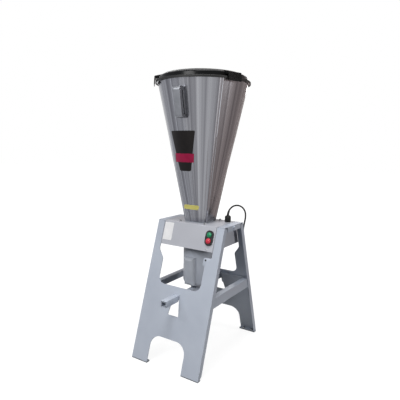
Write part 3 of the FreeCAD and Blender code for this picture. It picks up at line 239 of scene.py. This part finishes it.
FINISHES = {
    "stand_paint": stand_coat, "motor_paint": motor_coat, "cup_steel": cup_steel,
    "foot_rubber": foot_rubber, "zinc_steel": zinc, "bronze": bronze, "core_steel": laminated,
    "copper": winding, "black_plastic": black_plastic, "lid_black": lid_plastic,
    "lid_seal_rubber": seal_rubber, "button_green": green_plastic, "button_red": red_plastic,
    "cord_black": jacket, "plug_brass": blade_brass,
}
OWN_FINISH = {"head_housing": head_coat, "capacitor_cover": cover_plastic, "cup_handle": handle_steel,
              "left_pivot_bolt": stand_coat, "right_pivot_bolt": stand_coat}
for node in ("cup_hub", "lower_blade", "upper_blade", "blade_nut", "blade_spacer", "blade_collar"):
    OWN_FINISH[node] = fitting_steel
for row in frame["record"]["subparts"]:
    skin = OWN_FINISH.get(row["node"], FINISHES[row["material_slot"]])
    mesh = frame["nodes"][row["node"]].data
    mesh.materials.clear()
    mesh.materials.append(skin)


# Pieces

def clear_selection():
    """Operators act on all that is selected, so each piece starts with nothing selected."""
    if bpy.context.object and bpy.context.object.mode != "OBJECT":
        bpy.ops.object.mode_set(mode="OBJECT")
    bpy.ops.object.select_all(action="DESELECT")


def select_only(*parts):
    clear_selection()
    for part in parts:
        part.select_set(True)
    bpy.context.view_layer.objects.active = parts[0]


def apply_modifier(piece, kind, **settings):
    select_only(piece)
    modifier = piece.modifiers.new(kind.lower(), kind)
    for name, value in settings.items():
        setattr(modifier, name, value)
    bpy.ops.object.modifier_apply(modifier=modifier.name)


def place_piece(piece, name, material, body=None):
    """Names a finished piece, puts its place into its mesh and lets it ride on a body."""
    select_only(piece)
    bpy.ops.object.transform_apply(location=True, rotation=True, scale=True)
    piece.name = name
    piece.data.name = name
    piece.data.materials.clear()
    piece.data.materials.append(material)
    if body:
        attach(piece, body)
    return piece


# Power cord: a loop off the gland, down behind the right side, and the spare length in a coil

LOOP = [
    (108, 48, 577), (108, 48, 586), (108.7, 48.7, 613), (124.2, 63.9, 636), (147, 86, 636),
    (163.5, 101.5, 613), (165, 104, 583), (159, 105, 556),
]
RUN = [
    (153.5, 107, 528), (151, 113, 490), (149, 127, 440), (148, 146, 385), (146, 166, 325),
    (143, 185, 265), (138, 204, 205), (131, 223, 147), (121, 237, 102), (111, 250, 62), (101, 265, 29),
    (91, 287, 8), (80.5, 315, 3.6), (74, 348, 3.6), (74, 382, 3.6),
]
TAIL = [(-35, 0, 25.2), (-35, -24.8, 25.4), (-16.8, -43, 30.5), (8.9, -43, 36.7), (27, -24.8, 42.2),
        (27, 1, 42.2)]
COIL_X, COIL_Y, COIL_RADIUS, COIL_PITCH = 39, 405, 35.7, 7.02
PLUG_HEADING = math.radians(296)


def coil_turns():
    """Three turns and a bit, one above the other, sixteen points to a turn."""
    points = []
    for step in range(1, 49):
        angle = math.tau * step / 16
        points.append((
            COIL_X + COIL_RADIUS * math.cos(angle), COIL_Y + COIL_RADIUS * math.sin(angle),
            3.6 + COIL_PITCH * step / 16,
        ))
    return points


def beside_coil(side, ahead, height):
    """A point on the tail, from its place sideways of and ahead along the plug."""
    cos, sin = math.cos(PLUG_HEADING), math.sin(PLUG_HEADING)
    return (COIL_X + ahead * cos + side * sin, COIL_Y + ahead * sin - side * cos, height)


def soft_line(name, points, radii=None, thickness=0.0):
    """A NURBS line through the pull of its points, in millimetres, with its own radius at each."""
    curve = bpy.data.curves.new(name, "CURVE")
    curve.dimensions = "3D"
    curve.resolution_u = 6
    curve.bevel_depth = thickness * MM
    curve.bevel_resolution = 4
    curve.use_fill_caps = True
    spline = curve.splines.new("NURBS")
    spline.points.add(len(points) - 1)
    for number, point in enumerate(points):
        spline.points[number].co = (point[0] * MM, point[1] * MM, point[2] * MM, 1)
        spline.points[number].radius = radii[number] if radii else 1
    spline.order_u = 3
    spline.use_endpoint_u = True
    piece = bpy.data.objects.new(name, curve)
    bpy.context.collection.objects.link(piece)
    return piece


def as_mesh(piece):
    select_only(piece)
    bpy.ops.object.convert(target="MESH")
    bpy.ops.object.mode_set(mode="EDIT")
    bpy.ops.mesh.select_all(action="SELECT")
    bpy.ops.mesh.remove_doubles(threshold=0.00001)
    bpy.ops.mesh.normals_make_consistent(inside=False)
    bpy.ops.object.mode_set(mode="OBJECT")
    bpy.ops.object.shade_smooth_by_angle(angle=math.radians(40))
    return piece


route = LOOP + RUN + coil_turns() + [beside_coil(*point) for point in TAIL]
line = soft_line("cord_line", route)
traced = bpy.data.meshes.new_from_object(line)
bpy.data.objects.remove(line)

cord = as_mesh(soft_line("power_cord", route, thickness=3.5))
place_piece(cord, "power_cord", jacket)
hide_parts("cord_loop", "cord_run", "cord_coil")
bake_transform(cord)

sleeve_points = [(108, 48, 587), (108, 48, 590), (108, 48, 592.5), (108.1, 48.1, 595), (108.2, 48.2, 597.5),
                 (108.4, 48.4, 600), (108.7, 48.7, 602.5), (109.1, 49.1, 605), (109.6, 49.6, 607.5),
                 (110.2, 50.1, 610), (110.9, 50.8, 612.5), (111.4, 51.3, 614)]
sleeve_radii = [5.8, 5.8, 5.0, 5.5, 4.8, 5.2, 4.6, 4.9, 4.3, 4.6, 4.0, 3.8]
sleeve = as_mesh(soft_line("strain_relief", sleeve_points, sleeve_radii, thickness=1.0))
place_piece(sleeve, "strain_relief", black_plastic, "tilt_head")


# Films on the cup: a plain dark panel with a crimson band, and a plain yellow strip, no words on any

def wall_film(name, material, foot, top, foot_width, top_width, foot_x, top_x, corner, lift):
    """A thin film pressed on the cup's front wall, wider at its top, cut fine so that it bends."""
    clear_selection()
    bpy.ops.mesh.primitive_plane_add(size=1, location=(0, -0.3, 0), rotation=(math.pi / 2, 0, 0))
    piece = bpy.context.object
    bpy.ops.object.transform_apply(location=True, rotation=True, scale=True)
    for vertex in piece.data.vertices:
        upper = vertex.co.z > 0
        width, middle = (top_width, top_x) if upper else (foot_width, foot_x)
        vertex.co.z = (top if upper else foot) * MM
        vertex.co.x = (middle + width / 2 * (1 if vertex.co.x > 0 else -1)) * MM
    bpy.ops.object.mode_set(mode="EDIT")
    bpy.ops.mesh.select_all(action="SELECT")
    if corner:
        bpy.ops.mesh.bevel(offset=corner * MM, segments=5, affect="VERTICES")
    bpy.ops.object.mode_set(mode="OBJECT")
    cut = bmesh.new()
    cut.from_mesh(piece.data)
    half = max(top_width, foot_width) / 2
    for axis, first, last, step in ((Vector((0, 0, 1)), foot + 4, top - 2, 6),
                                    (Vector((1, 0, 0)), -half - 20, half + 30, 4)):
        while first < last:
            everything = cut.verts[:] + cut.edges[:] + cut.faces[:]
            bmesh.ops.bisect_plane(cut, geom=everything, plane_co=axis * first * MM, plane_no=axis)
            first += step
    cut.to_mesh(piece.data)
    cut.free()
    apply_modifier(
        piece, "SHRINKWRAP", target=frame["nodes"]["cup_shell"], wrap_method="PROJECT",
        use_project_y=True, use_negative_direction=False, use_positive_direction=True,
        wrap_mode="OUTSIDE_SURFACE", offset=lift * MM,
    )
    apply_modifier(piece, "SOLIDIFY", thickness=0.25 * MM, offset=0)
    select_only(piece)
    bpy.ops.object.shade_smooth_by_angle(angle=math.radians(30))
    place_piece(piece, name, material, "tilt_head")


wall_film("cup_panel", black_film, 784, 944, 55.4, 118.6, -11, -5.9, 5, 0.35)
wall_film("cup_band", crimson_film, 819.6, 854.7, 91.8, 93.8, -12.7, -8.2, 1.5, 0.7)
wall_film("cup_strip", yellow_film, 621.5, 641, 71, 73, -6.6, -2.6, 8, 0.35)


# Places on the leaning faces: x, y and z of a point, in metres, from its place across and its level

LEAN = math.radians(17.7)
HEAD_FOOT, HEAD_FRONT = 467, 111.3
FRAME_HEAD, FRAME_HEAD_HALF = 565, 80
UPRIGHT = (0, 0, 0)
FACING_FRONT = (math.pi / 2 - LEAN, 0, 0)
FACING_BACK = (LEAN - math.pi / 2, 0, 0)


def on_front(across, level, out=0.0):
    """A point so far out from the front of the head."""
    ahead = HEAD_FRONT - (level - HEAD_FOOT) * math.tan(LEAN) + out * math.cos(LEAN)
    return (across * MM, -ahead * MM, (level + out * math.sin(LEAN)) * MM)


def frame_face(level):
    """How far the outer face of a frame stands from the middle of the stand."""
    return FRAME_HEAD_HALF + (FRAME_HEAD - level) * math.tan(LEAN)


def on_frame(across, level, out=0.0, way=-1):
    """A point so far out from a frame: way is -1 for the front one and 1 for the rear one."""
    reach = frame_face(level) + out * math.cos(LEAN)
    return (across * MM, way * reach * MM, (level + out * math.sin(LEAN)) * MM)


# Folded edges of the cup: its four corners are pressed in, and a fold runs up each side of them

CUP_TURN = math.radians(5)
CUP_FOOT = 570
CONE_FOOT, CONE_FOOT_RADIUS = 925, 141
RIM_HEIGHT, RIM_RADIUS = 1140, 187
FOLD_FOOT = (52.5, 42.5)
FOLD_HEAD = [CONE_FOOT_RADIUS * way(math.radians(37.5)) for way in (math.cos, math.sin)]


def corner_fold(name, quarter, side):
    """A pressed fold from the square foot to the round wall, fading out at its top."""
    points = []
    for share, rise in ((0.02, 7.1), (0.3, 106.5), (0.6, 213), (0.85, 301.8), (1.0, 355)):
        x = FOLD_FOOT[0] + (FOLD_HEAD[0] - FOLD_FOOT[0]) * share
        y = FOLD_FOOT[1] + (FOLD_HEAD[1] - FOLD_FOOT[1]) * share
        if side > 0:
            x, y = y, x
        inward = 1 - 1.4 / math.hypot(x, y)
        turn = CUP_TURN + quarter * math.pi / 2
        points.append((
            (x * math.cos(turn) - y * math.sin(turn)) * inward,
            (x * math.sin(turn) + y * math.cos(turn)) * inward, CUP_FOOT + rise,
        ))
    fold = as_mesh(soft_line(name, points, [2.3, 2.6, 2.6, 2.4, 1.4], thickness=1.0))
    place_piece(fold, name, cup_steel, "tilt_head")


for quarter in range(4):
    corner_fold("cup_fold_%d_left" % quarter, quarter, -1)
    corner_fold("cup_fold_%d_right" % quarter, quarter, 1)


def cone_radius(height):
    """Outside radius of the round part of the cup, in millimetres."""
    slope = (RIM_RADIUS - CONE_FOOT_RADIUS) / (RIM_HEIGHT - CONE_FOOT)
    return CONE_FOOT_RADIUS + (height - CONE_FOOT) * slope


# the sheet's butt weld, ground and polished, runs up from one fold to the rim
seam_points = []
for height in (922, 960, 1000, 1040, 1080, 1139.5):
    reach = cone_radius(height) - 0.8
    heading = math.radians(-33.5)
    seam_points.append((reach * math.cos(heading), reach * math.sin(heading), height))
seam = as_mesh(soft_line("cup_seam", seam_points, [1.2, 1.6, 1.7, 1.7, 1.7, 1.6], thickness=1.0))
place_piece(seam, "cup_seam", weld_steel, "tilt_head")


# Handle: flanges that stiffen the strap, one on each side of it

HANDLE_TOP, HANDLE_FOOT, HANDLE_REACH, FLANGE_DEPTH = 1105, 991, 40, 12.5


def handle_flange(name, offset):
    """A bent edge of the strap: deep along its front, and running out on the cup at both ends."""
    clear_selection()
    bpy.ops.mesh.primitive_plane_add(size=1, rotation=(0, math.pi / 2, 0))
    piece = bpy.context.object
    bpy.ops.object.transform_apply(location=True, rotation=True, scale=True)
    for vertex in piece.data.vertices:
        height = HANDLE_TOP - 0.1 if vertex.co.z > 0 else HANDLE_FOOT + 0.1
        reach = HANDLE_REACH - 0.6 if vertex.co.y < 0 else 0
        vertex.co = (offset * MM, -(cone_radius(height) + 0.3 + reach) * MM, height * MM)
        vertex.select = reach > 0
    for edge in piece.data.edges:
        edge.select = all(piece.data.vertices[i].select for i in edge.vertices)
    bpy.ops.object.mode_set(mode="EDIT")
    bpy.ops.mesh.select_mode(type="VERT")
    bpy.ops.mesh.bevel(offset=13 * MM, segments=6, affect="VERTICES")
    bpy.ops.mesh.select_mode(type="FACE")
    bpy.ops.mesh.select_all(action="SELECT")
    bpy.ops.mesh.inset(thickness=FLANGE_DEPTH * MM)
    bpy.ops.mesh.delete(type="FACE")
    bpy.ops.object.mode_set(mode="OBJECT")
    cut = bmesh.new()
    cut.from_mesh(piece.data)
    by_wall = max(cut.faces, key=lambda face: face.calc_center_median().y)
    bmesh.ops.delete(cut, geom=[by_wall], context="FACES")
    cut.to_mesh(piece.data)
    cut.free()
    apply_modifier(piece, "SOLIDIFY", thickness=2 * MM, offset=0)
    apply_modifier(piece, "BEVEL", width=0.5 * MM, segments=2)
    piece.rotation_euler = (0, 0, CUP_TURN)
    place_piece(piece, name, handle_steel, "tilt_head")
    bpy.ops.object.shade_smooth_by_angle(angle=math.radians(30))


handle_flange("handle_flange_left", -13.9)
handle_flange("handle_flange_right", 13.9)


# Turned and pressed small parts

def round_part(name, sections, place, rotation, material, body, sides=32, soft=0.4):
    """A stack of rings, each a radius and a height in millimetres, closed at both ends."""
    clear_selection()
    bpy.ops.mesh.primitive_circle_add(
        vertices=sides, radius=sections[0][0] * MM, location=(0, 0, sections[0][1] * MM), fill_type="NGON"
    )
    piece = bpy.context.object
    bpy.ops.object.transform_apply(location=True, rotation=False, scale=False)
    bpy.ops.object.mode_set(mode="EDIT")
    bpy.ops.mesh.select_all(action="SELECT")
    before = sections[0]
    for radius, height in sections[1:]:
        step = (0, 0, (height - before[1]) * MM)
        bpy.ops.mesh.extrude_region_move(TRANSFORM_OT_translate={"value": step})
        share = radius / before[0]
        bpy.ops.transform.resize(value=(share, share, 1))
        before = (radius, height)
    bpy.ops.mesh.select_all(action="SELECT")
    bpy.ops.mesh.normals_make_consistent(inside=False)
    bpy.ops.object.mode_set(mode="OBJECT")
    if soft:
        apply_modifier(piece, "BEVEL", width=soft * MM, segments=2, limit_method="ANGLE",
                       angle_limit=math.radians(35))
    piece.location = place
    piece.rotation_euler = rotation
    place_piece(piece, name, material, body)
    bpy.ops.object.shade_smooth_by_angle(angle=math.radians(35))
    return piece


def copied(piece, name, move, body):
    """The same piece again, moved, with a mesh of its own."""
    twin = piece.copy()
    twin.data = piece.data.copy()
    bpy.context.collection.objects.link(twin)
    twin.location = move
    return place_piece(twin, name, piece.data.materials[0], body)


# cap nut of the cord gland, over its body
round_part("gland_cap", [(13.2, 566), (13.2, 588), (9.6, 592.5), (5.0, 592.8)], (0.108, 0.048, 0), UPRIGHT,
           black_plastic, "tilt_head", 12, 0.8)

# push buttons: a domed lens on each
for name, level, lens, slot, body in (
    ("start", 531.9, green_plastic, "button_green", "start_button"),
    ("stop", 508.1, red_plastic, "button_red", "stop_button"),
):
    round_part(name + "_lens", [(9.0, 0), (9.0, 0.6), (7.6, 1.6), (5.2, 2.3), (2.4, 2.7), (0.6, 2.8)],
               on_front(104, level, 9.0), FACING_FRONT, lens, body, 32, 0)

# screws with a washer under the head, two in each foot
SCREW = [(4.0, -0.6), (4.0, 0), (6.4, 0.02), (6.4, 0.9), (4.9, 0.92), (4.9, 4.0), (4.2, 4.6)]
FIRST_FOOT = Vector((-0.105, -0.247, 0.0065))
foot_screw = round_part("foot_screw_front_-1_105", SCREW, FIRST_FOOT, UPRIGHT, zinc,
                        "stand", 18, 0.3)
for side in (-1, 1):
    for across in (105, 145):
        for row, ahead in (("front", -0.247), ("rear", 0.247)):
            name = "foot_screw_%s_%d_%d" % (row, side, across)
            if name != foot_screw.name:
                move = Vector((side * across * MM, ahead, 0.0065)) - FIRST_FOOT
                copied(foot_screw, name, move, "stand")


def leaning_plate(name, width, height, corner, place, rotation, thickness, material, body,
                  one_end=False):
    """A flat plate with rounded corners, or with its left end alone rounded."""
    clear_selection()
    bpy.ops.mesh.primitive_plane_add(size=1)
    piece = bpy.context.object
    piece.scale = (width * MM, height * MM, 1)
    bpy.ops.object.transform_apply(location=True, rotation=True, scale=True)
    for vertex in piece.data.vertices:
        vertex.select = vertex.co.x < 0 or not one_end
    bpy.ops.object.mode_set(mode="EDIT")
    bpy.ops.mesh.select_mode(type="VERT")
    bpy.ops.mesh.bevel(offset=corner * MM, segments=8, affect="VERTICES")
    bpy.ops.object.mode_set(mode="OBJECT")
    apply_modifier(piece, "SOLIDIFY", thickness=thickness * MM, offset=0)
    if thickness > 1:
        apply_modifier(piece, "BEVEL", width=0.3 * MM, segments=2, limit_method="ANGLE",
                       angle_limit=math.radians(50))
    piece.location = place
    piece.rotation_euler = rotation
    place_piece(piece, name, material, body)
    bpy.ops.object.shade_smooth_by_angle(angle=math.radians(30))


# plain film on the head's front, where the real one has a label
leaning_plate("head_label", 46, 76, 3, on_front(-103.5, 522, 0.25), FACING_FRONT, 0.3, white_film,
              "tilt_head")

# ear behind the front frame's right lobe, with a black disc in its hole: painted shade, standing in for the
# dark inside of the hole
leaning_plate("lobe_ear", 44, 35, 10.4, on_frame(114.5, 426.5, -3.9), FACING_FRONT, 2.4, stand_coat,
              "stand", True)
# the black disc in the ear's hole is painted shade for the hole's dark inside
round_part("lobe_plug", [(3.9, -0.3), (3.9, 0.5), (3.0, 1.0), (1.0, 1.1)], on_frame(103, 434, -2.6),
           FACING_FRONT, black_plastic, "stand", 20, 0)

# fillet welds of the side rails, painted over: along the top of each end and down its inner side
for side in (-1, 1):
    for way in (-1, 1):
        welds = {
            "top": [(138 + 4 * n, 294.6 + 0.5 * (n % 2)) for n in range(7)],
            "side": [(138.2 - 0.4 * (n % 2), 257 + 6 * n) for n in range(7)],
        }
        for label, places in welds.items():
            bead = [(side * across, way * (frame_face(level) - 3.6), level) for across, level in places]
            radii = [2.0 + 0.5 * (n % 2) for n in range(7)]
            weld = as_mesh(soft_line("weld", bead, radii, thickness=1.0))
            ends = ("left" if side < 0 else "right", "front" if way < 0 else "rear")
            place_piece(weld, "rail_weld_%s_%s_%s" % (label, *ends), stand_coat, "stand")

# stiffening ledge across the rear frame's inner face, between the side rails
leaning_plate("rear_ledge", 274, 10, 0.6, on_frame(0, 293, -4.6, 1), FACING_BACK, 4.4, stand_coat,
              "stand")

# heavier tube over the lock bar's front end: its back end leans with the frame, close before it
BAR_LEVEL, TUBE_MIDDLE, TUBE_FOOT, TUBE_TOP = 0.270, -0.2182, 258.2, 284
clear_selection()
bpy.ops.mesh.primitive_cylinder_add(
    vertices=4, radius=13.6 * MM * math.sqrt(2), depth=80 * MM, end_fill_type="NOTHING",
    location=(0, TUBE_MIDDLE, BAR_LEVEL), rotation=(math.pi / 2, 0, 0)
)
bar_tube = bpy.context.object
bpy.ops.object.transform_apply(location=False, rotation=True, scale=True)
bar_tube.rotation_euler = (0, math.pi / 4, 0)
bpy.ops.object.transform_apply(location=True, rotation=True, scale=True)
for vertex in bar_tube.data.vertices:
    vertex.co.z = (TUBE_TOP if vertex.co.z > BAR_LEVEL else TUBE_FOOT) * MM
    if vertex.co.y > TUBE_MIDDLE:
        vertex.co.y = on_frame(0, vertex.co.z / MM, 0.9)[1]
apply_modifier(bar_tube, "SOLIDIFY", thickness=1.8 * MM, offset=-1, use_even_offset=True)
apply_modifier(bar_tube, "BEVEL", width=0.5 * MM, segments=2, limit_method="ANGLE",
               angle_limit=math.radians(50))
place_piece(bar_tube, "bar_sleeve", stand_coat, "lock_bar")
bpy.ops.object.shade_smooth_by_angle(angle=math.radians(35))

# small screw under the head's front edge
round_part("head_screw", [(3.2, -0.4), (3.2, 0.9), (2.2, 1.7), (0.8, 1.9)], on_front(100.4, 473.5),
           FACING_FRONT, zinc, "tilt_head", 20, 0)


# Floor, light and background

def area_light(name, place, aim, size, power, colour="#ffffff"):
    clear_selection()
    bpy.ops.object.light_add(type="AREA", location=place)
    lamp = bpy.context.object
    lamp.name = name
    lamp.data.shape = "DISK"
    lamp.data.size = size
    lamp.data.energy = power
    lamp.data.color = linear(colour)[:3]
    lamp.rotation_euler = (Vector(aim) - Vector(place)).to_track_quat("-Z", "Y").to_euler()


area_light("key_light", (-0.2, -2.9, 2.4), (0, 0, 0.6), 1.4, 71)
area_light("right_light", (2.9, 0.2, 1.5), (0, 0, 0.5), 1.0, 34)
area_light("top_light", (0.3, -0.4, 3.6), (0, 0, 0.5), 1.4, 64)
area_light("left_light", (-2.0, -2.5, 2.9), (0, 0, 1.0), 0.9, 18)
area_light("back_light", (-0.6, 3.0, 0.9), (0, 0, 0.5), 1.4, 46)

clear_selection()
bpy.ops.mesh.primitive_plane_add(size=30, location=(0, 0, 0))
floor = bpy.context.object
floor.name = "floor"


def seen_plainly(tree):
    """1 for a ray of the camera, of a reflection or through glass."""
    path = add(tree, "ShaderNodeLightPath")
    first = add(tree, "ShaderNodeMath", None,
                {0: path.outputs["Is Camera Ray"], 1: path.outputs["Is Glossy Ray"]}, operation="MAXIMUM")
    either = add(tree, "ShaderNodeMath", None,
                 {0: first.outputs[0], 1: path.outputs["Is Transmission Ray"]}, operation="MAXIMUM")
    return either.outputs[0]


# matt white board: what is seen of it is nearly white by itself, and keeps a soft shadow near the feet
board, tree, shader, place = start_material("painted board, white", "#f4f4f4", 0.9)
bounce = add(tree, "ShaderNodeLightPath").outputs["Is Diffuse Ray"]
tree.links.new(between(tree, bounce, "#f4f4f4", "#343434", 0.0, 1.0), shader.inputs["Base Color"])
glow = add(tree, "ShaderNodeEmission", {"Color": (1, 1, 1, 1), "Strength": 1.12})
away = add(tree, "ShaderNodeVectorMath", None, {0: place}, operation="LENGTH").outputs["Value"]
share = add(tree, "ShaderNodeMath", None,
            {0: seen_plainly(tree), 1: between(tree, away, 0.80, 1.0, 0.45, 1.4)}, operation="MULTIPLY")
mixed = add(tree, "ShaderNodeMixShader", None,
            {0: share.outputs[0], 1: shader.outputs[0], 2: glow.outputs[0]})
output = next(n for n in tree.nodes if n.type == "OUTPUT_MATERIAL")
tree.links.new(mixed.outputs[0], output.inputs["Surface"])
floor.data.materials.append(board)


def screen(name, first, last, colour):
    """A bent wall and a strip of floor between two headings, seen in reflections alone."""
    clear_selection()
    bpy.ops.mesh.primitive_cylinder_add(
        vertices=120, radius=3, depth=3.4, end_fill_type="NOTHING", location=(0, 0, 1.72)
    )
    piece = bpy.context.object
    piece.name = name
    bpy.ops.object.transform_apply(location=True, rotation=True, scale=True)
    bpy.ops.object.mode_set(mode="EDIT")
    bpy.ops.mesh.select_all(action="DESELECT")
    bpy.ops.object.mode_set(mode="OBJECT")
    for edge in piece.data.edges:
        edge.select = all(piece.data.vertices[i].co.z < 0.1 for i in edge.vertices)
    bpy.ops.object.mode_set(mode="EDIT")
    bpy.ops.mesh.extrude_region_move()
    bpy.ops.transform.resize(value=(0.2, 0.2, 1), center_override=(0, 0, 0))
    bpy.ops.mesh.select_all(action="DESELECT")
    bpy.ops.object.mode_set(mode="OBJECT")
    for face in piece.data.polygons:
        heading = math.degrees(math.atan2(face.center.y, face.center.x)) % 360
        face.select = not first < heading - 360 * (heading > last) < last
    bpy.ops.object.mode_set(mode="EDIT")
    bpy.ops.mesh.select_mode(type="FACE")
    bpy.ops.mesh.delete(type="FACE")
    bpy.ops.object.mode_set(mode="OBJECT")
    felt, tree, shader, place = start_material("wool felt, " + name, colour, 0.9)
    glow = add(tree, "ShaderNodeEmission", {"Color": linear(colour), "Strength": 1.0})
    output = next(n for n in tree.nodes if n.type == "OUTPUT_MATERIAL")
    tree.links.new(glow.outputs[0], output.inputs["Surface"])
    piece.data.materials.append(felt)
    piece.visible_camera = False
    piece.visible_diffuse = False
    piece.visible_shadow = False


# darker screens beside the object, as the dim sides of a room, give its bright metal light and dark bands
screen("right_screen", -14, 128, "#b8aaa6")
screen("left_screen", 165, 252, "#d9dade")

world = bpy.data.worlds.new("studio")
bpy.context.scene.world = world
world.use_nodes = True
tree = world.node_tree
tree.nodes.clear()
strength = between(tree, seen_plainly(tree), 0.06, 1.0, 0.0, 1.0)
background = add(tree, "ShaderNodeBackground", {"Color": (1, 1, 1, 1)}, {"Strength": strength})
add(tree, "ShaderNodeOutputWorld", links={"Surface": background.outputs[0]})
bpy.context.scene.view_settings.view_transform = "Standard"
